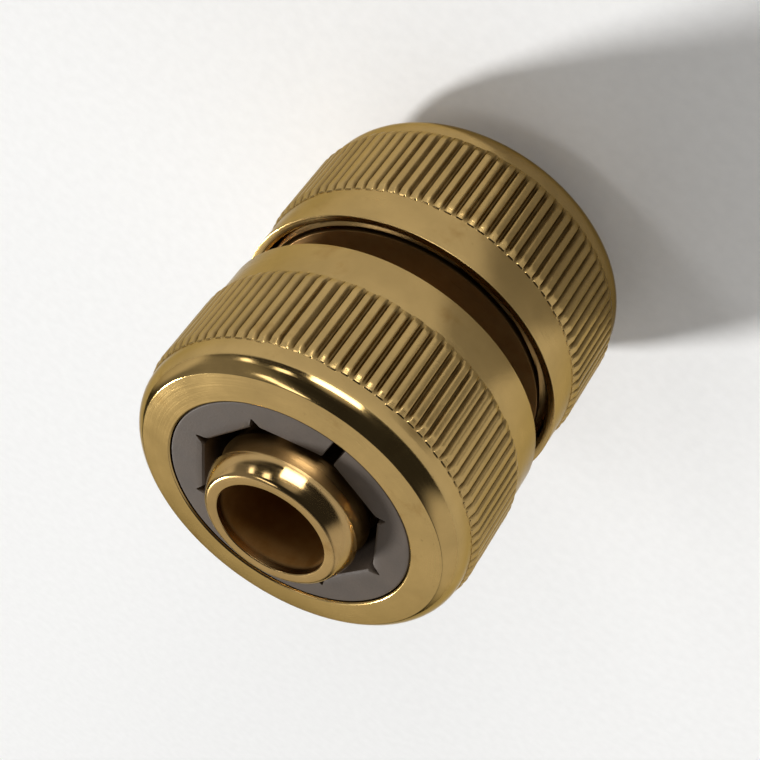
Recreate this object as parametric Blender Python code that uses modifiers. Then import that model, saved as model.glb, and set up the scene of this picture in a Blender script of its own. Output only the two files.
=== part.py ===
"""Brass hose connector (hose mender).

One turned brass body has a barbed hose tail at each end and a threaded flange on each side of
its neck. A knurled nut screws on each flange, and a split plastic grip ring sits in the cone
inside each nut. The connector stands on its lower tail, with its axis along +Z and the origin
at the middle of the lower tail's end.

Lengths are metres and angles are degrees. On each side "outer" is away from the middle of the
connector and "inner" is towards it.
"""

import math

import bmesh
import bpy

# Spacing along the axis
rim_gap = 0.0037            # between the inner rims of the two nuts
tail_stand_out = 0.0027     # how far a tail passes the outer face of its nut

# Bore, walls and clearances, from the axis outward
bore_r = 0.00475
tail_wall = 0.00185         # bore to the top of the barbs
neck_wall = 0.00235
pad_gap = 0.001             # barbs to a flat pad of the grip ring
ring_wall = 0.0028          # flat pad to the ring's edge, at the ring's face
seat_clearance = 0.0003     # ring to cone and mouth, square to the wall
cone_step = 0.0007          # inner end of the cone to the nut's thread bore
thread_clearance = 0.0003   # flange to nut, radially
nut_wall = 0.00085          # thread bore to the turned blank that carries the knurl

# Nut
rim_band_width = 0.0035     # plain band between the inner rim and the knurl
rim_edge_break = 0.0002
knurl_width = 0.0082
knurl_height = 0.0003       # ridge top above the blank
knurl_floor_rise = 0.00005  # groove floor above the blank
knurl_count = 90
knurl_groove_width = 0.00042
knurl_floor_width = 0.00016
shoulder_width = 0.00055    # plain strip outside the knurl
shoulder_round_r = 0.0024
shoulder_round_deg = 60.0   # the rounding stops here, at a crisp edge
face_fall = 0.0003          # outer face falls back this much from the mouth to the crisp edge
mouth_edge_break = 0.00015
mouth_land = 0.0005         # straight wall inside the mouth
cone_deg = 20.0             # the cone that squeezes the grip ring, from the axis
cone_length = 0.0063
thread_entry = 0.0003       # chamfer at the start of the nut's thread

# Body
bore_edge_break = 0.00015
nose_length = 0.0009
nose_width = 0.00095        # rounding of the tail's end, seen along the axis
nose_land = 0.001           # straight part behind the rounding
barb_count = 4              # the end of the tail counts as the first
barb_land = 0.00025
barb_back = 0.00015         # length of the steep side behind a barb
barb_depth = 0.00055
barb_end_room = 0.0014      # plain tail between the last barb and the flange
neck_fillet_r = 0.0004
flange_recess = 0.00025     # flange face to the nut's inner rim
thread_run_out = 0.0021     # outer end of the flange to the nut's cone
thread_chamfer = 0.0006

# Grip ring
ring_sink = 0.0002          # ring face below the nut's mouth
ring_end_clearance = 0.0003  # inner end of the ring to the step behind the cone
ring_edge_break = 0.00015
pad_count = 8
pad_taper_deg = 3.0         # the pads close in by this much towards the inner end
pad_lead_in = 0.0004        # bevel on the pads at the ring's face
pad_lead_in_depth = 0.0003
notch_width = 0.0008        # at the corner between two pads
notch_end_width = 0.0003
notch_web = 0.0009          # plastic left outside a notch, at the ring's face
slit_width = 0.0011
slit_deg = -90.0            # direction of the open slit

# Facets round a turn
body_facets = 48
nut_facets = 60
ring_facets = 48
nose_steps = 4
fillet_steps = 3
round_steps = 6

# Radii that follow from the sizes above
tail_r = bore_r + tail_wall
tail_face_r = tail_r - nose_width
barb_root_r = tail_r - barb_depth
neck_r = bore_r + neck_wall
pad_r = tail_r + pad_gap
ring_face_r = pad_r + ring_wall
mouth_r = ring_face_r + seat_clearance
cone_slope = math.tan(math.radians(cone_deg))
cone_inner_r = mouth_r + cone_length * cone_slope
thread_bore_r = cone_inner_r + cone_step
flange_r = thread_bore_r - thread_clearance
nut_blank_r = thread_bore_r + nut_wall
round_end_r = nut_blank_r - shoulder_round_r * (1 - math.cos(math.radians(shoulder_round_deg)))

# Heights that follow, measured from the middle of the connector
rim_z = rim_gap / 2
knurl_inner_z = rim_z + rim_band_width
knurl_outer_z = knurl_inner_z + knurl_width
round_start_z = knurl_outer_z + shoulder_width
round_end_z = round_start_z + shoulder_round_r * math.sin(math.radians(shoulder_round_deg))
mouth_z = round_end_z + face_fall
cone_outer_z = mouth_z - mouth_land
cone_inner_z = cone_outer_z - cone_length
ring_face_z = mouth_z - ring_sink
ring_inner_z = cone_inner_z + ring_end_clearance
flange_inner_z = rim_z + flange_recess
flange_outer_z = cone_inner_z - thread_run_out
tail_end_z = mouth_z + tail_stand_out
nose_z = tail_end_z - nose_length
last_barb_z = flange_outer_z + barb_end_room + barb_back + barb_land
barb_pitch = (nose_z - last_barb_z) / (barb_count - 1)

bite = 0.0002               # how far a joined or cutting shape runs past the face it works on
merge_distance = 0.000001
sharp_angle = math.radians(28.0)


def clear_scene():
    for old in list(bpy.data.objects):
        bpy.data.objects.remove(old, do_unlink=True)


def new_collection(name):
    made = bpy.data.collections.new(name)
    bpy.context.scene.collection.children.link(made)
    return made


def arc(centre_r, centre_z, size_r, size_z, start, end, steps):
    """Points on an arc. 0 degrees points outward from the axis and 90 degrees along +Z."""
    points = []
    for step in range(steps + 1):
        angle = math.radians(start + (end - start) * step / steps)
        points.append((centre_r + size_r * math.cos(angle), centre_z + size_z * math.sin(angle)))
    return points


def turned(name, profile, facets, collection):
    """A closed outline of (radius, height) points, outer side running down, turned once round Z."""
    mesh = bpy.data.meshes.new(name)
    points = [(r, 0.0, z) for r, z in profile]
    edges = [(i, (i + 1) % len(points)) for i in range(len(points))]
    mesh.from_pydata(points, edges, [])
    made = bpy.data.objects.new(name, mesh)
    collection.objects.link(made)
    screw = made.modifiers.new("turn", "SCREW")
    screw.axis = "Z"
    screw.angle = math.tau
    screw.steps = facets
    screw.render_steps = facets
    screw.use_merge_vertices = True
    screw.merge_threshold = merge_distance
    return made


def boolean(target, tool, operation):
    modifier = target.modifiers.new(tool.name, "BOOLEAN")
    modifier.object = tool
    modifier.operation = operation
    modifier.solver = "EXACT"


def hide_tool(tool):
    tool.hide_render = True
    tool.display_type = "WIRE"


def baked_mesh(shape, name):
    """The finished mesh of an object with its modifiers, smooth with sharp edges."""
    graph = bpy.context.evaluated_depsgraph_get()
    mesh = bpy.data.meshes.new_from_object(shape.evaluated_get(graph))
    mesh.name = name
    mesh.shade_smooth()
    mesh.set_sharp_from_angle(angle=sharp_angle)
    return mesh


def material(name, colour, roughness, metallic):
    made = bpy.data.materials.new(name)
    made.use_nodes = True
    shader = made.node_tree.nodes["Principled BSDF"]
    shader.inputs["Base Color"].default_value = (*colour, 1.0)
    shader.inputs["Roughness"].default_value = roughness
    shader.inputs["Metallic"].default_value = metallic
    return made


def place(name, mesh, finish, parent, collection):
    made = bpy.data.objects.new(name, mesh)
    made.parent = parent
    if not mesh.materials:
        mesh.materials.append(finish)
    collection.objects.link(made)
    return made


def body_side():
    """Outer outline of the body from the end of one tail down to the middle of the neck."""
    points = [(bore_r, tail_end_z - bore_edge_break), (bore_r + bore_edge_break, tail_end_z)]
    points += arc(tail_face_r, nose_z, nose_width, nose_length, 90, 0, nose_steps)
    for barb in range(barb_count):
        crest_z = nose_z - barb * barb_pitch
        land = barb_land if barb else nose_land
        if barb:
            points.append((tail_r, crest_z))
        points.append((tail_r, crest_z - land))
        points.append((barb_root_r, crest_z - land - barb_back))
    points.append((barb_root_r, flange_outer_z))
    points.append((flange_r - thread_chamfer, flange_outer_z))
    points.append((flange_r, flange_outer_z - thread_chamfer))
    points.append((flange_r, flange_inner_z + thread_chamfer))
    points.append((flange_r - thread_chamfer, flange_inner_z))
    fillet_r = neck_r + neck_fillet_r
    fillet_z = flange_inner_z - neck_fillet_r
    points += arc(fillet_r, fillet_z, neck_fillet_r, neck_fillet_r, 90, 180, fillet_steps)
    return points


def make_body(collection):
    side = body_side()
    profile = side + [(r, -z) for r, z in reversed(side)]
    return turned("body_blank", profile, body_facets, collection)


def nut_profile():
    points = [(mouth_r + mouth_edge_break, mouth_z)]
    points += arc(
        nut_blank_r - shoulder_round_r,
        round_start_z,
        shoulder_round_r,
        shoulder_round_r,
        shoulder_round_deg,
        0,
        round_steps,
    )
    points.append((nut_blank_r, rim_z + rim_edge_break))
    points.append((nut_blank_r - rim_edge_break, rim_z))
    points.append((thread_bore_r + thread_entry, rim_z))
    points.append((thread_bore_r, rim_z + thread_entry))
    points.append((thread_bore_r, cone_inner_z))
    points.append((cone_inner_r, cone_inner_z))
    points.append((mouth_r, cone_outer_z))
    points.append((mouth_r, mouth_z - mouth_edge_break))
    return points


def knurl_outline():
    """Ridges with straight-sided grooves between them, as points round the nut."""
    crest_r = nut_blank_r + knurl_height
    floor_r = nut_blank_r + knurl_floor_rise
    crest_half = knurl_groove_width / crest_r / 2
    floor_half = knurl_floor_width / floor_r / 2
    points = []
    for groove in range(knurl_count):
        middle = math.tau * groove / knurl_count
        for r, offset in (
            (crest_r, -crest_half),
            (floor_r, -floor_half),
            (floor_r, floor_half),
            (crest_r, crest_half),
        ):
            points.append((r * math.cos(middle + offset), r * math.sin(middle + offset)))
    return points


def circle_outline(r, facets):
    return [
        (r * math.cos(math.tau * i / facets), r * math.sin(math.tau * i / facets))
        for i in range(facets)
    ]


def make_knurl(collection):
    """A toothed sleeve that is joined to the nut's blank."""
    curve = bpy.data.curves.new("knurl_sleeve", "CURVE")
    curve.dimensions = "2D"
    curve.fill_mode = "BOTH"
    curve.extrude = knurl_width / 2
    sleeve_r = nut_blank_r - 2 * bite
    for outline in (knurl_outline(), circle_outline(sleeve_r, nut_facets)):
        spline = curve.splines.new("POLY")
        spline.points.add(len(outline) - 1)
        for point, (x, y) in zip(spline.points, outline):
            point.co = (x, y, 0.0, 1.0)
        spline.use_cyclic_u = True
    flat = bpy.data.objects.new("knurl_outline", curve)
    flat.location.z = (knurl_inner_z + knurl_outer_z) / 2
    collection.objects.link(flat)
    bpy.context.view_layer.update()

    graph = bpy.context.evaluated_depsgraph_get()
    mesh = bpy.data.meshes.new_from_object(flat.evaluated_get(graph))
    welded = bmesh.new()
    welded.from_mesh(mesh)
    bmesh.ops.remove_doubles(welded, verts=welded.verts, dist=merge_distance)
    bmesh.ops.recalc_face_normals(welded, faces=welded.faces)
    welded.to_mesh(mesh)
    welded.free()
    sleeve = bpy.data.objects.new("knurl_sleeve", mesh)
    sleeve.matrix_world = flat.matrix_world
    collection.objects.link(sleeve)
    bpy.data.objects.remove(flat, do_unlink=True)
    return sleeve


def make_nut(collection):
    nut = turned("nut_blank", nut_profile(), nut_facets, collection)
    boolean(nut, make_knurl(collection), "UNION")
    return nut


def seat_r(z):
    """Radius of the ring's outer cone at height z, clear of the nut's cone all along."""
    slack = seat_clearance / math.cos(math.radians(cone_deg))
    return mouth_r + (cone_outer_z - z) * cone_slope - slack


def ring_profile():
    slack = seat_clearance / math.cos(math.radians(cone_deg))
    corner_z = cone_outer_z - (slack - seat_clearance) / cone_slope
    return [
        (tail_r, ring_face_z),
        (ring_face_r - ring_edge_break, ring_face_z),
        (ring_face_r, ring_face_z - ring_edge_break),
        (ring_face_r, corner_z),
        (seat_r(ring_inner_z + ring_edge_break), ring_inner_z + ring_edge_break),
        (seat_r(ring_inner_z) - ring_edge_break, ring_inner_z),
        (tail_r, ring_inner_z),
    ]


def make_pad_cutter(collection):
    """The eight-sided hole between the pads, wider at the ring's face."""
    corner = 1 / math.cos(math.pi / pad_count)
    taper = math.tan(math.radians(pad_taper_deg))
    lead_z = ring_face_z - pad_lead_in_depth
    lead_slope = pad_lead_in / pad_lead_in_depth
    end_r = pad_r - (lead_z - ring_inner_z + bite) * taper
    face_r = pad_r + pad_lead_in + bite * lead_slope
    core_r = tail_r / 2
    profile = [
        (core_r, ring_face_z + bite),
        (face_r * corner, ring_face_z + bite),
        (pad_r * corner, lead_z),
        (end_r * corner, ring_inner_z - bite),
        (core_r, ring_inner_z - bite),
    ]
    return turned("pad_cutter", profile, pad_count, collection)


def make_slot_cutter(collection):
    """A tapered notch at each corner between two pads, and one slit right through the ring."""
    start_r = pad_r / math.cos(math.pi / pad_count) - notch_width
    height = ring_face_z - ring_inner_z + 2 * bite
    middle_z = (ring_face_z + ring_inner_z) / 2
    tools = bmesh.new()
    for corner in range(pad_count):
        through = corner == 0
        width, end_width = (slit_width, slit_width) if through else (notch_width, notch_end_width)
        end_r = nut_blank_r if through else ring_face_r - notch_web
        turn = math.tau * corner / pad_count
        for vert in bmesh.ops.create_cube(tools, size=1.0)["verts"]:
            outer = vert.co.x > 0
            x = end_r if outer else start_r
            y = vert.co.y * (end_width if outer else width)
            vert.co.x = x * math.cos(turn) - y * math.sin(turn)
            vert.co.y = x * math.sin(turn) + y * math.cos(turn)
            vert.co.z = middle_z + vert.co.z * height
    mesh = bpy.data.meshes.new("slot_cutter")
    tools.to_mesh(mesh)
    tools.free()
    cutter = bpy.data.objects.new("slot_cutter", mesh)
    collection.objects.link(cutter)
    return cutter


def make_ring(collection):
    ring = turned("ring_blank", ring_profile(), ring_facets, collection)
    boolean(ring, make_pad_cutter(collection), "DIFFERENCE")
    boolean(ring, make_slot_cutter(collection), "DIFFERENCE")
    return ring


def side_frame(name, turn_over, centre, collection):
    """An empty at the middle of the connector, with +Z pointing out along one tail."""
    frame = bpy.data.objects.new(name, None)
    frame.parent = centre
    frame.rotation_euler.y = math.pi if turn_over else 0.0
    collection.objects.link(frame)
    return frame


def build():
    clear_scene()
    connector = new_collection("hose_connector")
    cutters = new_collection("cutters")

    body_brass = material("body_brass", (0.72, 0.52, 0.22), 0.26, 1.0)
    nut_brass = material("nut_brass", (0.76, 0.56, 0.25), 0.30, 1.0)
    grip_plastic = material("grip_plastic", (0.16, 0.14, 0.125), 0.55, 0.0)

    centre = bpy.data.objects.new("connector_centre", None)
    centre.location.z = tail_end_z
    connector.objects.link(centre)

    body = make_body(cutters)
    nut = make_nut(cutters)
    ring = make_ring(cutters)
    bpy.context.view_layer.update()
    body_mesh = baked_mesh(body, "body")
    nut_mesh = baked_mesh(nut, "nut")
    ring_mesh = baked_mesh(ring, "grip_ring")
    for blank in (body, nut, ring):
        bpy.data.objects.remove(blank, do_unlink=True)
    for tool in cutters.objects:
        hide_tool(tool)

    place("body", body_mesh, body_brass, centre, connector)
    for side, turn_over in (("upper", False), ("lower", True)):
        frame = side_frame(side + "_side", turn_over, centre, connector)
        place(side + "_nut", nut_mesh, nut_brass, frame, connector)
        ring_object = place(side + "_grip_ring", ring_mesh, grip_plastic, frame, connector)
        ring_object.rotation_euler.z = math.radians(slit_deg)


build()
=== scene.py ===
"""Looks of the brass hose connector: finer meshes over the CAD frame, materials, light and camera.

Each CAD node is replaced by a finer mesh with what the solids leave out: screw threads, uneven
and dented knurl ridges with stepped ends, rounded edges, wear and painted shade, and smaller notches in
the rings.

Lengths are metres and angles are degrees. The outlines are drawn for the upper side of the
connector, with heights from its middle, and the lower side is the same turned over about Y.
"""

import math

import bpy
import numpy as np
from mathutils import Matrix, Vector


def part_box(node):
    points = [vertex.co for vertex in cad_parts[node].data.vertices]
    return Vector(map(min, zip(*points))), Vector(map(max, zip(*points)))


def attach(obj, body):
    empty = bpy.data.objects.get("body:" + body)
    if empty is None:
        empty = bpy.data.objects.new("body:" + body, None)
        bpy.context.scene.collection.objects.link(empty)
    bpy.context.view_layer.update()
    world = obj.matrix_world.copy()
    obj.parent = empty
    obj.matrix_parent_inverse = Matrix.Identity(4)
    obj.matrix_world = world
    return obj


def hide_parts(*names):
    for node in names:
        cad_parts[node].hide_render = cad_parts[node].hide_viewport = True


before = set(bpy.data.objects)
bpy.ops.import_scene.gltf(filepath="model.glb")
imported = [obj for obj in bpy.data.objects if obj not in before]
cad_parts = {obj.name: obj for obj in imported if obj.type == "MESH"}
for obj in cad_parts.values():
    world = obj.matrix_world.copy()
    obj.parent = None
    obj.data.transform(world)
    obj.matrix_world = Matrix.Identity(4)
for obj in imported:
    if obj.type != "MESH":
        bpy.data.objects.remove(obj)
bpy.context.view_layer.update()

# Sizes read from the frame
body_low, body_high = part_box("body")
nut_low, nut_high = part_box("upper_nut")
ring_low, ring_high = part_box("upper_grip_ring")
middle_z = (body_low.z + body_high.z) / 2
tail_end_z = body_high.z - middle_z
flange_r = body_high.x
crest_r = nut_high.x
rim_z = nut_low.z - middle_z
mouth_z = nut_high.z - middle_z
ring_face_z = ring_high.z - middle_z
ring_inner_z = ring_low.z - middle_z

# Nut
knurl_height = 0.0003
knurl_count = 90
knurl_width = 0.0082
knurl_end = 0.0007          # length over which a ridge rises to its full height
knurl_step_share = 0.10     # a short step starts it, up to this share of that length
knurl_step_rise = 0.34      # and of the height
groove_floor_rise = 0.00003
# From a groove's middle to the next ridge's: share of the way, and share of the knurl's height
groove_section = ((0.12, 0.0), (0.26, 0.24), (0.40, 0.66), (0.52, 0.92), (0.68, 1.0))
ridge_top = 1.01            # height share in the middle of a ridge
groove_shift_spread = 0.012  # of the pitch
groove_width_spread = 0.08
ridge_height_spread = 0.015
ridge_end_spread = 0.00004
burr_rise = 0.02            # of the height, just inside each end of a ridge
# Stations at a ridge's end, in lengths of knurl_end, and the spans between the two ends
knurl_insets = (-0.06, 0.0, knurl_step_share, 0.3, 0.6, 0.9, 1.1, 1.4)
knurl_spans = 9
dent_count = 40
dent_margin = 0.0006        # from the knurl's ends
dent_width = 0.0003
dent_lengths = (0.0002, 0.0004)
dent_depths = (0.00002, 0.00006)
rim_band_width = 0.0035
rim_edge = 0.00006
bore_chamfer = 0.0003
cone_edge = 0.0001
nut_thread_share = 0.6      # of the body's thread depth
nut_thread_start = 0.0002
nut_thread_end_room = 0.0008
nut_thread_fade = 0.0006
polish_reach = 0.00122      # from the knurl's root inward, over which the shoulder is polished
shoulder_width = 0.00055
shoulder_round_r = 0.0024
shoulder_round_deg = 60.0
nut_wall = 0.00085
cone_step = 0.0007
cone_deg = 20.0
cone_length = 0.0063
mouth_land = 0.0005
mouth_round = 0.0002
face_edge = 0.0002          # rounding between the mouth's face and the shoulder

# Body
body_columns = 256
fine_edge = 0.00005         # rounding of a sharp turned edge, on the nuts too
bore_round = 0.00014
root_round = 0.0003
neck_round = 0.0004
flange_chamfer = 0.0006
bore_r = 0.00475
tail_r = 0.0066
nose_length = 0.0009
nose_width = 0.00095
nose_land = 0.001
lead_in_start_deg = 13.0    # slope of the tail's lead-in, from the axis, at its edge
lead_in_end_deg = 31.0      # and where it meets the rounding at the tip
lead_in_length = 0.00177
barb_count = 4
barb_depth = 0.00055
barb_back = 0.00015
barb_land = 0.00025
barb_end_room = 0.0014
neck_r = 0.0071
flange_recess = 0.00025
thread_run_out = 0.0021
thread_pitch = 0.0015
thread_depth = 0.00075
thread_lead = 0.0007        # length over which the thread fades out at the ends of a flange

# Grip ring
pad_count = 8
pad_r = 0.0076
pad_taper = math.tan(math.radians(3.0))
ring_wall = 0.00302         # up to the mouth but for a hair
seat_clearance = 0.0003
lead_in = 0.0002
lead_in_depth = 0.00016
notch_half = 0.00036
notch_end_half = 0.00012
notch_depth = 0.0007        # beyond the corner between two pads
slit_half = 0.00055
slit_deg = -90.0
slit_edge = 0.00008
slit_land = 0.02            # radians between the slit's wall and the first pad column
notch_land = 1.45           # of a notch's half width, where the flat pad starts
ring_edge = 0.00012
ring_corner_round = 0.0003

# Finishes: colour and colour of the dirt and painted shade, and for brass the roughness where satin and
# polished
nut_brass = ((0.42, 0.285, 0.112), (0.055, 0.030, 0.009), 0.19, 0.11)
body_brass = ((0.40, 0.265, 0.112), (0.17, 0.068, 0.009), 0.22, 0.11)
body_oxide = 0.9
grip_plastic = ((0.088, 0.065, 0.047), (0.045, 0.030, 0.018))
edge_tint = (0.66, 0.58, 0.42, 1.0)     # what brass keeps of white light at a grazing angle

# Lamps: azimuth and elevation, width and height as seen from the connector, and radiance. The
# key lamp is round and far off, and has a width and a strength.
key_lamp = ("key", 61, 32, 9.5, 3.4)
soft_lamps = (
    ("front", -72, 9, 32, 17, 9.0),
    ("strip", -10, 62, 7, 24, 4.5),
    ("left", -38, 22, 9, 9, 5.0),
    ("far_left", -15, 15, 6, 9, 5.0),
)
lamp_distance = 1.6
floor_half = 12.0

# Camera, from a fit to the photograph's right-hand connector
camera_azimuth = -86.75
camera_elevation = 37.4
camera_distance = 0.160
axis_picture_angle = -125.7  # where the upper end points in the picture, anticlockwise from right
focal_px = 1931.3
picture_px = 760
centre_px = (385.0, 370.0)   # the connector's middle in the picture

# Light level of the room, where 1 is white, and its panels: azimuth, elevation, the angles from
# there at which the panel starts to fade and ends, and the level it adds
room_level = 0.045
room_panels = (
    (95, 37, 18, 28, 0.86),
    (165, 12, 26, 46, 0.80),
    (-73, 14, 8, 22, 0.60),
    (15, 34, 18, 44, 0.32),
    (32, 0, 14, 26, 0.70),
)

# Radii that follow
blank_r = crest_r - knurl_height
thread_bore_r = blank_r - nut_wall
cone_inner_r = thread_bore_r - cone_step
mouth_r = cone_inner_r - cone_length * math.tan(math.radians(cone_deg))
ring_face_r = pad_r + ring_wall
barb_root_r = tail_r - barb_depth
knurl_inner_z = rim_z + rim_band_width
knurl_outer_z = knurl_inner_z + knurl_width
round_start_z = knurl_outer_z + shoulder_width
cone_outer_z = mouth_z - mouth_land
cone_inner_z = cone_outer_z - cone_length
flange_inner_z = rim_z + flange_recess
flange_outer_z = cone_inner_z - thread_run_out
nose_z = tail_end_z - nose_length
last_barb_z = flange_outer_z + barb_end_room + barb_back + barb_land
barb_pitch = (nose_z - last_barb_z) / (barb_count - 1)


hair = 1e-6     # lengths closer than this are the same


def smooth(t):
    """An even step from 0 to 1."""
    t = np.clip(t, 0.0, 1.0)
    return t * t * (3 - 2 * t)


def rounded(corners, steps=6):
    """A closed outline of (radius, height) from corners (radius, height, rounding)."""
    points = []
    count = len(corners)
    for i, (r, z, rounding) in enumerate(corners):
        here = Vector((r, z))
        before = Vector(corners[i - 1][:2]) - here
        after = Vector(corners[(i + 1) % count][:2]) - here
        if rounding == 0 or before.length == 0 or after.length == 0:
            points.append((r, z))
            continue
        half = before.angle(after) / 2
        reach = min(rounding / math.tan(half), 0.45 * before.length, 0.45 * after.length)
        size = reach * math.tan(half)
        before.normalize()
        after.normalize()
        centre = here + (before + after).normalized() * (size / math.sin(half))
        start = here + before * reach - centre
        end = here + after * reach - centre
        for step in range(steps + 1):
            spoke = start.lerp(end, step / steps).normalized() * size
            points.append((centre.x + spoke.x, centre.y + spoke.y))
    return points


def arc_corners(centre_r, centre_z, size, start, end, steps):
    """Corners along an arc, from one angle in degrees to another."""
    corners = []
    for step in range(steps + 1):
        angle = math.radians(start + (end - start) * step / steps)
        corners.append((centre_r + size * math.cos(angle), centre_z + size * math.sin(angle), 0))
    return corners


def filled(points, longest, thread_r=0.0, thread_step=1.0):
    """The outline with points added on its long spans, and closer ones on a thread's radius."""
    made = []
    count = len(points)
    for i, (r, z) in enumerate(points):
        next_r, next_z = points[(i + 1) % count]
        on_thread = abs(r - thread_r) < hair and abs(next_r - thread_r) < hair
        step = thread_step if on_thread else longest
        parts = max(1, math.ceil(math.hypot(next_r - r, next_z - z) / step))
        for part in range(parts):
            t = part / parts
            made.append((r + (next_r - r) * t, z + (next_z - z) * t))
    return made


def grid_mesh(name, r, z, angle, wear_and_shade, closed_round=True):
    """A mesh from station x column arrays. wear_and_shade holds named point attributes of the same shape.
    """
    stations, columns = r.shape
    x = r * np.cos(angle)
    y = r * np.sin(angle)
    coords = np.stack([x, y, z], axis=-1).reshape(-1, 3)
    index = np.arange(stations * columns).reshape(stations, columns)
    below = np.roll(index, -1, axis=0)
    if closed_round:
        here, there = index, np.roll(index, -1, axis=1)
        low_here, low_there = below, np.roll(below, -1, axis=1)
    else:
        here, there = index[:, :-1], index[:, 1:]
        low_here, low_there = below[:, :-1], below[:, 1:]
    quads = np.stack([here, low_here, low_there, there], axis=-1).reshape(-1, 4)
    faces = quads.tolist()
    if not closed_round:
        faces.append(index[:, 0].tolist())
        faces.append(index[::-1, -1].tolist())
    mesh = bpy.data.meshes.new(name)
    mesh.from_pydata(coords.tolist(), [], faces)
    for key, values in wear_and_shade.items():
        layer = mesh.attributes.new(key, "FLOAT", "POINT")
        layer.data.foreach_set("value", np.ascontiguousarray(values, dtype=np.float32).ravel())
    return mesh


def show(name, mesh, body, node, finish, turn_over, sharp_deg=19.0):
    """Place a mesh drawn for the upper side, turned over for the lower one, on its body."""
    place = Matrix.Translation((0, 0, middle_z))
    if turn_over:
        place = place @ Matrix.Rotation(math.pi, 4, "Y")
    mesh.transform(place)
    mesh.validate()
    mesh.shade_smooth()
    mesh.set_sharp_from_angle(angle=math.radians(sharp_deg))
    mesh.materials.append(finish)
    made = bpy.data.objects.new(name, mesh)
    bpy.context.scene.collection.objects.link(made)
    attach(made, body)
    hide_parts(node)


def knurl_columns(rng):
    """Angle, height share and ridge number of each column round a nut."""
    pitch = math.tau / knurl_count
    shifts = rng.normal(0.0, groove_shift_spread, knurl_count) * pitch
    widths = 1 + rng.normal(0.0, groove_width_spread, knurl_count)
    angles, heights, ridges = [], [], []
    for groove in range(knurl_count):
        middle = pitch * groove + shifts[groove]
        for side in (-1, 1):
            for share, height in groove_section[::side]:
                angles.append(middle + side * share * widths[groove] * pitch / 2)
                heights.append(height)
                ridges.append(groove if side < 0 else (groove + 1) % knurl_count)
        angles.append(pitch * (groove + 0.5))
        heights.append(ridge_top)
        ridges.append((groove + 1) % knurl_count)
    return np.array(angles), np.array(heights), np.array(ridges)


def nut_outline():
    """Points round the nut's section in three runs: mouth and shoulder, knurl, rim and inside."""
    round_r = blank_r - shoulder_round_r
    arc = arc_corners(round_r, round_start_z, shoulder_round_r, shoulder_round_deg, 0, 13)
    face_corner = (*arc[0][:2], face_edge)
    corners = [(mouth_r, cone_outer_z, 0), (mouth_r, mouth_z, mouth_round), face_corner] + arc[1:]
    outer = rounded(corners + [(blank_r, knurl_outer_z, 0)])[1:-1]
    knurl = []
    for inset in knurl_insets:
        knurl.append((blank_r, knurl_outer_z - inset * knurl_end))
    low, high = knurl_inner_z + 2 * knurl_end, knurl_outer_z - 2 * knurl_end
    for span in range(knurl_spans + 1):
        knurl.append((blank_r, high + (low - high) * span / knurl_spans))
    for inset in reversed(knurl_insets):
        knurl.append((blank_r, knurl_inner_z + inset * knurl_end))
    inner_corners = [
        (blank_r, knurl_inner_z, 0),
        (blank_r, rim_z, rim_edge),
        (thread_bore_r + bore_chamfer, rim_z, fine_edge),
        (thread_bore_r, rim_z + bore_chamfer, 0),
        (thread_bore_r, cone_inner_z, cone_edge),
        (cone_inner_r, cone_inner_z, fine_edge),
        (mouth_r, cone_outer_z, cone_edge),
        (mouth_r, mouth_z, mouth_round),
    ]
    # The first corner belongs to the knurl, and the last one, of four points, to the outer run.
    inner = rounded(inner_corners, steps=3)[1:-4]
    return outer, knurl, filled(inner, 0.0016, thread_bore_r, 0.0006)


def thread_wave(z, angle):
    """0 at the root and 1 at the crest of a right-hand thread with narrow flats."""
    phase = (z / thread_pitch - angle / math.tau) % 1.0
    return np.clip(1.7 * (1 - np.abs(2 * phase - 1)) - 0.35, 0.0, 1.0)


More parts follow.
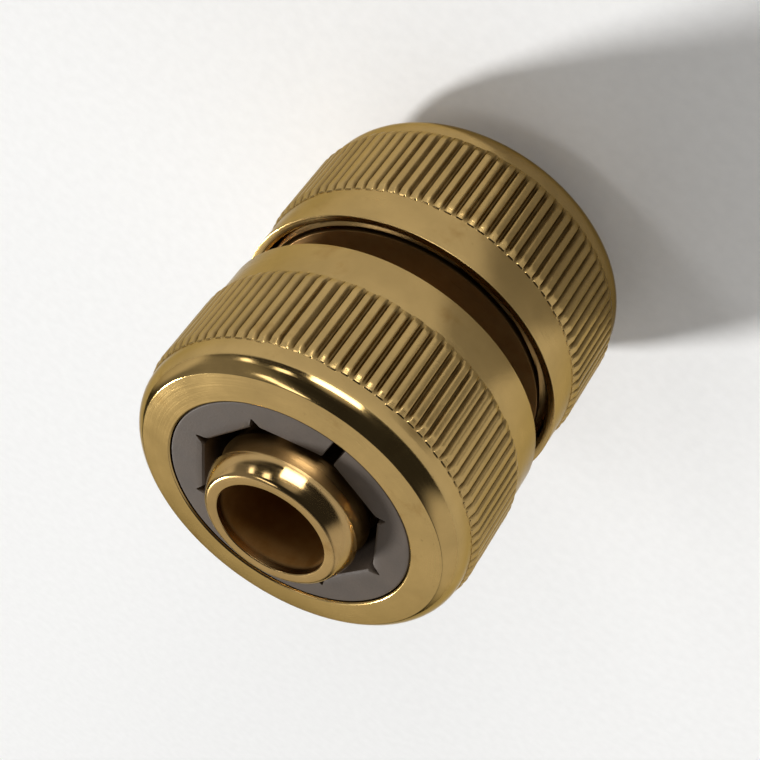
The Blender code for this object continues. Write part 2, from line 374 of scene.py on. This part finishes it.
def make_nut(side, turn_over, seed, finish):
    rng = np.random.default_rng(seed)
    outer, knurl, inner = nut_outline()
    points = np.array(outer + knurl + inner)
    angles, heights, ridges = knurl_columns(rng)
    stations, columns = len(points), len(angles)
    r = np.repeat(points[:, :1], columns, axis=1)
    z = np.repeat(points[:, 1:], columns, axis=1)
    angle = np.repeat(angles[None, :], stations, axis=0)

    # Knurl: a ridge rises by a short step and a ramp, and its ends, height and wear vary a little.
    start, end = len(outer), len(outer) + len(knurl)
    zone = np.zeros(stations)
    zone[start:end] = 1.0
    top_shift = rng.normal(0.0, ridge_end_spread, knurl_count)[ridges]
    low_shift = rng.normal(0.0, ridge_end_spread, knurl_count)[ridges]
    from_top = (knurl_outer_z - z) / knurl_end
    from_low = (z - knurl_inner_z) / knurl_end
    from_end = np.minimum(from_top, from_low)
    rise = np.interp(from_end, (0, knurl_step_share, 1), (0, knurl_step_rise, 1))
    burr = 1 + burr_rise * np.exp(-((from_end - 1.1) / 0.4) ** 2)
    ridge_height = 1 + rng.normal(0.0, ridge_height_spread, knurl_count)[ridges]
    tall = groove_floor_rise + (knurl_height - groove_floor_rise) * heights * ridge_height
    dents = np.zeros_like(z)
    for _ in range(dent_count):
        spot_angle = rng.uniform(0, math.tau)
        spot_z = rng.uniform(knurl_inner_z + dent_margin, knurl_outer_z - dent_margin)
        around = np.angle(np.exp(1j * (angle - spot_angle))) * crest_r
        length = rng.uniform(*dent_lengths)
        depth = rng.uniform(*dent_depths)
        dents += depth * np.exp(-((around / dent_width) ** 2) - ((z - spot_z) / length) ** 2)
    r = r + (tall[None, :] * burr - dents * heights) * rise * zone[:, None]
    end_share = 1 - smooth(from_end / 3)
    z = z + zone[:, None] * end_share * np.where(from_top < from_low, top_shift, low_shift)

    # Thread inside, cut outward from the bore.
    radii, levels = points[:, 0], points[:, 1]
    on_bore = (np.abs(radii - thread_bore_r) < hair) & (np.arange(stations) >= end)
    fade = smooth((levels - rim_z - nut_thread_start) / nut_thread_fade)
    fade = fade * smooth((cone_inner_z - nut_thread_end_room - levels) / nut_thread_fade)
    thread = thread_depth * nut_thread_share * (1 - thread_wave(z, angle))
    r = r + (on_bore * fade)[:, None] * thread

    # Wear and painted shade: dirt and painted shade in the grooves, painted shade inside, a polished
    # stretch round the shoulder.
    # Dirt and painted shade: the knurl's grooves get darker towards their floors.
    groove = (1 - heights)[None, :] * zone[:, None] * np.clip(rise * 1.2, 0, 1)
    # Painted shade: the nut's inside, from just above the rim's face inward, is darkened.
    inside = np.zeros(stations)
    inside[end:] = smooth((levels[end:] - rim_z + 0.0002) / 0.0004)
    inside[end:][radii[end:] > blank_r - 0.0001] = 0.0
    polish = smooth((levels - round_start_z + 0.0001) / 0.0003) * (np.arange(stations) < start)
    polish = polish * (radii > blank_r - polish_reach)
    wear_and_shade = {
        "dirt_and_shade": np.clip(groove + inside[:, None] * 0.8, 0, 1),
        "polish": np.repeat(polish[:, None], columns, axis=1),
        "knurl": np.clip(rise, 0, 1) * zone[:, None],
        "tone": rng.uniform(0, 1, knurl_count)[ridges][None, :] * zone[:, None],
    }
    mesh = grid_mesh(side + "_nut_turned", r, z, angle, wear_and_shade)
    node = side + "_nut"
    show(node + "_turned", mesh, node, node, finish, turn_over, sharp_deg=36.0)


def nose_corners():
    """The tail's end: a small rounding at the tip and a slightly domed lead-in to a sharp edge."""
    edge_z = nose_z - nose_land
    start, end = math.radians(lead_in_start_deg), math.radians(lead_in_end_deg)
    mean = (start + end) / 2
    tip_r = (tail_end_z - edge_z - lead_in_length * math.cos(mean)) / (1 - math.sin(end))
    corners = []
    steps = 10
    r, z = tail_r, edge_z
    for step in range(steps):
        corners.append((r, z, 0))
        slope = start + (end - start) * (step + 0.5) / steps
        r -= math.sin(slope) * lead_in_length / steps
        z += math.cos(slope) * lead_in_length / steps
    centre_r = r - tip_r * math.cos(end)
    corners += reversed(arc_corners(centre_r, tail_end_z - tip_r, tip_r, 90, lead_in_end_deg, 10))
    return list(reversed(corners))


def body_side_corners():
    """The upper half of the body's section, from the bore's end down to the neck."""
    corners = [(bore_r, tail_end_z, bore_round)]
    corners += nose_corners()
    for barb in range(barb_count):
        crest_z = nose_z - barb * barb_pitch
        land = barb_land if barb else nose_land
        if barb:
            corners.append((tail_r, crest_z, fine_edge))
            corners.append((tail_r, crest_z - land, fine_edge))
        corners.append((barb_root_r, crest_z - land - barb_back, fine_edge))
    corners.append((barb_root_r, flange_outer_z, root_round))
    corners.append((flange_r - flange_chamfer, flange_outer_z, fine_edge))
    corners.append((flange_r, flange_outer_z - flange_chamfer, fine_edge))
    corners.append((flange_r, flange_inner_z + flange_chamfer, fine_edge))
    corners.append((flange_r - flange_chamfer, flange_inner_z, fine_edge))
    corners.append((neck_r, flange_inner_z, neck_round))
    return corners


def make_body(finish):
    columns = body_columns
    side = body_side_corners()
    corners = side + [(r, -z, rounding) for r, z, rounding in reversed(side)]
    points = np.array(filled(rounded(corners, steps=3), 0.0009, flange_r, 0.0001))
    angles = math.tau * np.arange(columns) / columns
    stations = len(points)
    r = np.repeat(points[:, :1], columns, axis=1)
    z = np.repeat(points[:, 1:], columns, axis=1)
    angle = np.repeat(angles[None, :], stations, axis=0)

    # The lower side is the upper one turned over about Y, so its thread is right-hand as well.
    side_z = np.abs(z)
    side_angle = np.where(z < 0, math.pi - angle, angle)
    on_flange = (side_z > flange_inner_z - hair) & (side_z < flange_outer_z + hair)
    on_flange = on_flange & (r > flange_r - flange_chamfer - 0.0001)
    fade = smooth((side_z - flange_inner_z) / thread_lead)
    fade = fade * smooth((flange_outer_z - side_z) / thread_lead)
    cut = thread_depth * (1 - thread_wave(side_z, side_angle)) * fade
    r = np.where(on_flange, np.minimum(r, flange_r - cut), r)

    # Wear and painted shade: a brown tarnished bore, painted shade between the barbs and in the gap
    # between the nuts, dirt and painted shade in the thread's roots, a polished nose.
    radii, levels = points[:, 0], np.abs(points[:, 1])
    land_end = nose_z - nose_land
    outside = radii > bore_r + 0.001
    nose = smooth((levels - land_end) / 0.0001) * (radii > tail_r - nose_width + 0.00005)
    in_bore = (radii < bore_r + 0.0001) * smooth((tail_end_z - 0.0001 - levels) / 0.0007)
    # Painted shade: the barbs inside the grip ring and the neck in the gap between the nuts are darkened.
    barbs = outside & (levels < land_end - 0.00001) & (levels > flange_outer_z)
    groove = outside & (levels < flange_inner_z + 0.0001)
    dirt_and_shade = np.clip(in_bore * 0.95 + barbs * 0.5 + groove * 0.7, 0, 1)
    wear_and_shade = {
        "dirt_and_shade": np.repeat(dirt_and_shade[:, None], columns, axis=1) + 0.4 * on_flange * (cut / thread_depth),
        "polish": np.repeat(nose[:, None], columns, axis=1),
        "knurl": np.zeros_like(r),
        "tone": np.zeros_like(r),
    }
    mesh = grid_mesh("body_turned", r, z, angle, wear_and_shade)
    show("body_turned", mesh, "body", "body", finish, False)


def ring_columns():
    """Angle from the slit, inner radius and pad share of each column, from slit wall to slit wall."""
    sector = math.tau / pad_count
    corner_r = pad_r / math.cos(sector / 2)
    end_r = corner_r + notch_depth
    slit_start = math.asin(slit_half / pad_r) + slit_land
    notch_start = notch_land * notch_half / corner_r
    columns = []
    for corner in range(pad_count):
        at = sector * corner
        if corner == 0:
            start = slit_start
        else:
            start = notch_start
            for radius, half in (
                (end_r, 0.0),
                (end_r - 0.00003, 0.55 * notch_end_half),
                (end_r - 0.0001, 0.95 * notch_end_half),
                (end_r - 0.5 * notch_depth, 0.5 * (notch_half + notch_end_half)),
                (corner_r + 0.00022, 0.93 * notch_half),
                (corner_r + 0.00006, 1.12 * notch_half),
            ):
                columns.append((at + half / radius, radius, 0.0))
                if half:
                    columns.append((at - half / radius, radius, 0.0))
        stop = sector - (slit_start if corner == pad_count - 1 else notch_start)
        steps = 18
        for step in range(steps + 1):
            offset = start + (stop - start) * step / steps
            columns.append((at + offset, pad_r / math.cos(offset - sector / 2), 1.0))
    columns.sort()
    return np.array(columns)


def ring_stations():
    """(inner share, added radius, height, pad bevel) round the ring's section."""
    lead_z = ring_face_z - lead_in_depth
    slack = seat_clearance / math.cos(math.radians(cone_deg))
    slope = math.tan(math.radians(cone_deg))
    corner_z = cone_outer_z - (slack - seat_clearance) / slope
    inner_end_r = mouth_r + (cone_outer_z - ring_inner_z) * slope - slack
    stations = []
    for step in range(9):
        z = ring_inner_z + (lead_z - 0.00008 - ring_inner_z) * step / 8
        stations.append((1.0, -(lead_z - z) * pad_taper, z, 0.0))
    bevel_end = 1.15
    for along, up in ((0.03, 0.0), (0.12, 0.16), (0.5, 0.5), (0.86, 0.84), (0.97, 0.95), (bevel_end, 1.0)):
        stations.append((1.0, 0.0, lead_z + up * lead_in_depth, along))
    for share in (0.75, 0.5, 0.25, 0.1):
        stations.append((share, 0.0, ring_face_z, bevel_end * share))
    outer_corners = [
        (ring_face_r - 0.001, ring_face_z, 0),
        (ring_face_r, ring_face_z, ring_edge),
        (ring_face_r, corner_z, ring_corner_round),
        (inner_end_r, ring_inner_z, ring_edge),
        (inner_end_r - 0.001, ring_inner_z, 0),
    ]
    for r, z in filled(rounded(outer_corners)[1:-1], 0.0012)[:-1]:
        stations.append((0.0, r, z, 0.0))
    return stations


def make_ring(side, turn_over, finish):
    columns = ring_columns()
    stations = np.array(ring_stations())
    share, added, level, bevel = (stations[:, i:i + 1] for i in range(4))
    contour = columns[None, :, 1]
    pad = columns[None, :, 2]
    outer_r = ring_face_r - 0.0001
    # A column's own contour on the inside, one circle on the outside, and shares of both between.
    r = np.where(
        share > 0,
        share * (contour + added) + (1 - share) * outer_r + bevel * lead_in * (0.35 + 0.65 * pad),
        added,
    )
    z = np.repeat(level, len(columns), axis=1)
    angle = np.repeat(columns[None, :, 0], len(stations), axis=0)

    # The slit's walls are parallel: the last columns lie on a plane beside the slit.
    centre_r, centre_z = r[:, :1].mean(), z[:, :1].mean()

    def wall(column, turned_back):
        """The wall's column, drawn in by the edge's width, and the one where the edge ends."""
        near_r, near_z = r[:, column], z[:, column]
        inset_r = near_r + np.sign(centre_r - near_r) * slit_edge
        inset_z = near_z + np.sign(centre_z - near_z) * slit_edge
        rows = []
        for half, row_r, row_z in (
            (slit_half, inset_r, inset_z),
            (slit_half + slit_edge, near_r, near_z),
        ):
            turn = np.arcsin(half / row_r)
            rows.append((row_r, row_z, math.tau - turn if turned_back else turn))
        return rows

    first = wall(0, False)
    last = wall(-1, True)
    r = np.column_stack([first[0][0], first[1][0], r, last[1][0], last[0][0]])
    z = np.column_stack([first[0][1], first[1][1], z, last[1][1], last[0][1]])
    angle = np.column_stack([first[0][2], first[1][2], angle, last[1][2], last[0][2]])
    angle = angle + math.radians(slit_deg)
    # Painted shade: the ring is darker the farther below its face, down inside the nut.
    wear_and_shade = {"dirt_and_shade": smooth((ring_face_z - z - 0.0004) / 0.003)}
    name = side + "_ring_split"
    mesh = grid_mesh(name, r, z, angle, wear_and_shade, closed_round=False)
    show(name, mesh, side + "_ring", side + "_grip_ring", finish, turn_over)


class Nodes:
    """Small helper that adds and links shader nodes."""

    def __init__(self, name):
        self.material = bpy.data.materials.new(name)
        self.material.use_nodes = True
        self.tree = self.material.node_tree
        self.shader = self.tree.nodes["Principled BSDF"]

    def add(self, kind, **settings):
        node = self.tree.nodes.new(kind)
        for key, value in settings.items():
            setattr(node, key, value)
        return node

    def link(self, source, target):
        self.tree.links.new(source, target)

    def feed(self, target, value):
        if isinstance(value, (int, float)):
            target.default_value = value
        else:
            self.link(value, target)

    def math(self, operation, first, second=0.0):
        node = self.add("ShaderNodeMath", operation=operation)
        self.feed(node.inputs[0], first)
        self.feed(node.inputs[1], second)
        return node.outputs[0]

    def attribute(self, name):
        return self.add("ShaderNodeAttribute", attribute_name=name).outputs["Fac"]

    def noise(self, vector, scale, detail=2.0, w=None, roughness=0.5):
        node = self.add("ShaderNodeTexNoise", noise_dimensions="3D" if w is None else "4D")
        self.link(vector, node.inputs["Vector"])
        if w is not None:
            self.feed(node.inputs["W"], w)
        node.inputs["Scale"].default_value = scale
        node.inputs["Detail"].default_value = detail
        node.inputs["Roughness"].default_value = roughness
        return node.outputs["Fac"]

    def ramp(self, value, low, high, low_out=0.0, high_out=1.0):
        node = self.add("ShaderNodeMapRange")
        self.feed(node.inputs["Value"], value)
        node.inputs["From Min"].default_value = low
        node.inputs["From Max"].default_value = high
        node.inputs["To Min"].default_value = low_out
        node.inputs["To Max"].default_value = high_out
        return node.outputs["Result"]

    def mix(self, share, first, second):
        node = self.add("ShaderNodeMix", data_type="RGBA")
        self.feed(node.inputs["Factor"], share)
        for key, colour in (("A", first), ("B", second)):
            socket = next(s for s in node.inputs if s.name == key and s.type == "RGBA")
            if isinstance(colour, tuple):
                socket.default_value = (*colour, 1.0)
            else:
                self.link(colour, socket)
        return next(s for s in node.outputs if s.type == "RGBA")


def scaled(colour, share):
    return tuple(value * share for value in colour)


def turned_coordinates(nodes):
    """Object position, then radius, height and the two parts of the direction from the axis."""
    position = nodes.add("ShaderNodeTexCoord").outputs["Object"]
    parts = nodes.add("ShaderNodeSeparateXYZ")
    nodes.link(position, parts.inputs[0])
    x, y, z = parts.outputs
    squares = nodes.math("ADD", nodes.math("MULTIPLY", x, x), nodes.math("MULTIPLY", y, y))
    radius = nodes.math("SQRT", squares)
    round_x = nodes.math("DIVIDE", x, radius)
    round_y = nodes.math("DIVIDE", y, radius)
    return position, radius, z, round_x, round_y


def turning_lines(nodes, radius, z, round_x, round_y, scale, slow):
    """The lines that a lathe leaves: they change fast across the cut and slowly round it."""
    join = nodes.add("ShaderNodeCombineXYZ")
    nodes.link(nodes.math("MULTIPLY", radius, scale), join.inputs[0])
    nodes.link(nodes.math("MULTIPLY", z, scale), join.inputs[1])
    nodes.link(nodes.math("MULTIPLY", round_x, slow), join.inputs[2])
    return nodes.noise(join.outputs[0], 1.0, 3.0, w=nodes.math("MULTIPLY", round_y, slow), roughness=0.7)


def brass(name, base, dark, satin, polished, oxide=0.0):
    """Worn brass: tarnish, dirt and painted shade where "dirt_and_shade" is 1, a smoother cut where
    "polish" is 1.

    oxide is how much of its metal's shine the brass has lost where the tarnish is thickest.
    """
    nodes = Nodes(name)
    stained = (base[0] * 0.62, base[1] * 0.50, base[2] * 0.36)
    position, radius, z, round_x, round_y = turned_coordinates(nodes)
    lines = turning_lines(nodes, radius, z, round_x, round_y, 9000.0, 1.3)
    fine_lines = turning_lines(nodes, radius, z, round_x, round_y, 26000.0, 2.2)
    blotch = nodes.noise(position, 160.0, 4.0, roughness=0.6)
    cloud = nodes.noise(position, 700.0, 3.0, roughness=0.6)
    specks = nodes.ramp(nodes.noise(position, 2600.0, 2.0), 0.72, 0.80)
    stain = nodes.ramp(nodes.noise(position, 210.0, 5.0, roughness=0.65), 0.58, 0.72)
    dirt_and_shade = nodes.attribute("dirt_and_shade")
    polish = nodes.attribute("polish")
    knurl = nodes.attribute("knurl")
    tone = nodes.attribute("tone")

    tint = nodes.mix(nodes.ramp(blotch, 0.35, 0.65), scaled(base, 0.90), scaled(base, 1.08))
    clouding = nodes.math("MULTIPLY", nodes.ramp(cloud, 0.5, 0.75), 0.25)
    tint = nodes.mix(clouding, tint, scaled(base, 0.8))
    ridge_tone = nodes.math("MULTIPLY", knurl, nodes.ramp(tone, 0.0, 1.0, -0.1, 1.0))
    tint = nodes.mix(nodes.math("MULTIPLY", ridge_tone, 0.22), tint, scaled(base, 0.7))
    tint = nodes.mix(nodes.math("MULTIPLY", stain, 0.5), tint, stained)
    tint = nodes.mix(nodes.math("MULTIPLY", specks, 0.25), tint, dark)
    # Tarnish, dirt and painted shade pull the colour to the dark one, unevenly.
    dirt_and_shade_share = nodes.math("MULTIPLY", dirt_and_shade, nodes.ramp(cloud, 0.2, 0.8, 0.75, 1.0))
    tint = nodes.mix(dirt_and_shade_share, tint, dark)
    nodes.link(tint, nodes.shader.inputs["Base Color"])
    nodes.shader.inputs["Metallic"].default_value = 1.0
    if oxide:
        nodes.link(nodes.ramp(dirt_and_shade, 0.5, 0.95, 1.0, 1.0 - oxide), nodes.shader.inputs["Metallic"])
    nodes.shader.inputs["Specular Tint"].default_value = edge_tint

    rough = nodes.math("ADD", satin, nodes.ramp(lines, 0.3, 0.7, -0.05, 0.07))
    smoothness = nodes.math("MULTIPLY", polish, satin - polished)
    rough = nodes.math("SUBTRACT", rough, smoothness)
    rough = nodes.math("ADD", rough, nodes.ramp(blotch, 0.3, 0.7, -0.03, 0.05))
    rough = nodes.math("ADD", rough, nodes.math("MULTIPLY", dirt_and_shade, 0.14))
    nodes.link(rough, nodes.shader.inputs["Roughness"])

    flat = nodes.math("SUBTRACT", 1.0, nodes.math("MULTIPLY", polish, 0.85))
    height = nodes.math("ADD", lines, nodes.math("MULTIPLY", fine_lines, 0.4))
    height = nodes.math("MULTIPLY", height, flat)
    height = nodes.math("SUBTRACT", height, nodes.math("MULTIPLY", specks, 0.4))
    bump = nodes.add("ShaderNodeBump")
    bump.inputs["Strength"].default_value = 0.35
    bump.inputs["Distance"].default_value = 0.00002
    nodes.link(height, bump.inputs["Height"])
    nodes.link(bump.outputs[0], nodes.shader.inputs["Normal"])
    return nodes.material


def plastic(name, base, dark):
    """Matt moulded plastic, with painted shade where "dirt_and_shade" is 1."""
    nodes = Nodes(name)
    position = nodes.add("ShaderNodeTexCoord").outputs["Object"]
    cloud = nodes.noise(position, 500.0, 4.0, roughness=0.6)
    grain = nodes.noise(position, 5200.0, 3.0, roughness=0.6)
    dirt_and_shade = nodes.attribute("dirt_and_shade")
    tint = nodes.mix(nodes.ramp(cloud, 0.3, 0.7), scaled(base, 0.86), scaled(base, 1.1))
    tint = nodes.mix(nodes.math("MULTIPLY", nodes.ramp(grain, 0.55, 0.8), 0.3), tint, dark)
    tint = nodes.mix(nodes.math("MULTIPLY", dirt_and_shade, 0.7), tint, dark)
    nodes.link(tint, nodes.shader.inputs["Base Color"])
    nodes.link(nodes.ramp(cloud, 0.3, 0.7, 0.50, 0.64), nodes.shader.inputs["Roughness"])
    nodes.shader.inputs["Specular IOR Level"].default_value = 0.3
    bump = nodes.add("ShaderNodeBump")
    bump.inputs["Strength"].default_value = 0.5
    bump.inputs["Distance"].default_value = 0.00003
    nodes.link(nodes.math("ADD", grain, nodes.math("MULTIPLY", cloud, 1.5)), bump.inputs["Height"])
    nodes.link(bump.outputs[0], nodes.shader.inputs["Normal"])
    return nodes.material


def direction(azimuth, elevation):
    """The unit vector from the connector towards a place in the room."""
    azimuth, elevation = math.radians(azimuth), math.radians(elevation)
    flat = math.cos(elevation)
    return Vector((flat * math.cos(azimuth), flat * math.sin(azimuth), math.sin(elevation)))


def make_camera():
    towards = direction(camera_azimuth, camera_elevation)
    up = Vector((0, 0, 1))
    along = (up - towards * up.dot(towards)).normalized()
    side = towards.cross(along)
    tilt = math.radians(axis_picture_angle)
    right = along * math.cos(tilt) - side * math.sin(tilt)
    top = along * math.sin(tilt) + side * math.cos(tilt)
    camera = bpy.data.cameras.new("camera")
    camera.sensor_width = 36.0
    camera.lens = focal_px / picture_px * camera.sensor_width
    camera.shift_x = (picture_px / 2 - centre_px[0]) / picture_px
    camera.shift_y = (centre_px[1] - picture_px / 2) / picture_px
    camera.clip_start = 0.01
    camera.clip_end = 20.0
    made = bpy.data.objects.new("camera", camera)
    place = Vector((0, 0, middle_z)) + towards * camera_distance
    turn = Matrix((right, top, towards)).transposed().to_4x4()
    made.matrix_world = Matrix.Translation(place) @ turn
    bpy.context.scene.collection.objects.link(made)
    bpy.context.scene.camera = made


def hang(lamp, azimuth, elevation):
    """Put a lamp in the room so that it faces the connector."""
    made = bpy.data.objects.new(lamp.name, lamp)
    towards = direction(azimuth, elevation)
    made.location = Vector((0, 0, middle_z)) + towards * lamp_distance
    made.rotation_euler = towards.to_track_quat("Z", "Y").to_euler()
    bpy.context.scene.collection.objects.link(made)


def softbox(name, azimuth, elevation, width, height, radiance):
    """A rectangular lamp. width and height are degrees as seen from the connector."""
    lamp = bpy.data.lights.new(name, "AREA")
    lamp.shape = "RECTANGLE"
    lamp.size = 2 * lamp_distance * math.tan(math.radians(width / 2))
    lamp.size_y = 2 * lamp_distance * math.tan(math.radians(height / 2))
    lamp.energy = radiance * math.pi * lamp.size * lamp.size_y
    hang(lamp, azimuth, elevation)


def far_lamp(name, azimuth, elevation, width, strength):
    """A round lamp that lights the whole floor evenly, as from far off. width is in degrees."""
    lamp = bpy.data.lights.new(name, "SUN")
    lamp.angle = math.radians(width)
    lamp.energy = strength
    hang(lamp, azimuth, elevation)


def make_world():
    """A dim room with large white panels whose edges are soft."""
    world = bpy.data.worlds.new("room")
    bpy.context.scene.world = world
    world.use_nodes = True
    tree = world.node_tree
    background = tree.nodes["Background"]
    around = tree.nodes.new("ShaderNodeTexCoord").outputs["Generated"]
    total = None
    for azimuth, elevation, full, end, level in room_panels:
        facing = tree.nodes.new("ShaderNodeVectorMath")
        facing.operation = "DOT_PRODUCT"
        tree.links.new(around, facing.inputs[0])
        facing.inputs[1].default_value = direction(azimuth, elevation)
        panel = tree.nodes.new("ShaderNodeMapRange")
        panel.interpolation_type = "SMOOTHSTEP"
        tree.links.new(facing.outputs["Value"], panel.inputs["Value"])
        panel.inputs["From Min"].default_value = math.cos(math.radians(end))
        panel.inputs["From Max"].default_value = math.cos(math.radians(full))
        panel.inputs["To Max"].default_value = level
        joined = tree.nodes.new("ShaderNodeMath")
        joined.operation = "ADD"
        tree.links.new(panel.outputs["Result"], joined.inputs[0])
        if total is None:
            joined.inputs[1].default_value = room_level
        else:
            tree.links.new(total, joined.inputs[1])
        total = joined.outputs[0]
    tree.links.new(total, background.inputs["Strength"])
    background.inputs["Color"].default_value = (1.0, 0.985, 0.955, 1.0)


def make_floor():
    """A sheet of pale paper that the connector stands on."""
    size = floor_half
    mesh = bpy.data.meshes.new("floor")
    corners = [(-size, -size, 0), (size, -size, 0), (size, size, 0), (-size, size, 0)]
    mesh.from_pydata(corners, [], [(0, 1, 2, 3)])
    nodes = Nodes("floor_paper")
    position = nodes.add("ShaderNodeTexCoord").outputs["Object"]
    fibre = nodes.noise(position, 900.0, 3.0)
    tint = nodes.mix(nodes.ramp(fibre, 0.3, 0.7), (0.90, 0.90, 0.895), (0.93, 0.93, 0.925))
    nodes.link(tint, nodes.shader.inputs["Base Color"])
    nodes.shader.inputs["Roughness"].default_value = 0.9
    nodes.shader.inputs["Specular IOR Level"].default_value = 0.1
    mesh.materials.append(nodes.material)
    floor = bpy.data.objects.new("floor", mesh)
    bpy.context.scene.collection.objects.link(floor)


nut_finish = brass("nut_brass_looks", *nut_brass)
body_finish = brass("body_brass_looks", *body_brass, oxide=body_oxide)
ring_finish = plastic("grip_plastic_looks", *grip_plastic)

make_body(body_finish)
for side, turn_over, seed in (("upper", False, 3), ("lower", True, 8)):
    make_nut(side, turn_over, seed, nut_finish)
    make_ring(side, turn_over, ring_finish)

make_floor()
make_world()
far_lamp(*key_lamp)
for soft_lamp in soft_lamps:
    softbox(*soft_lamp)
make_camera()

bpy.context.scene.view_settings.view_transform = "Standard"
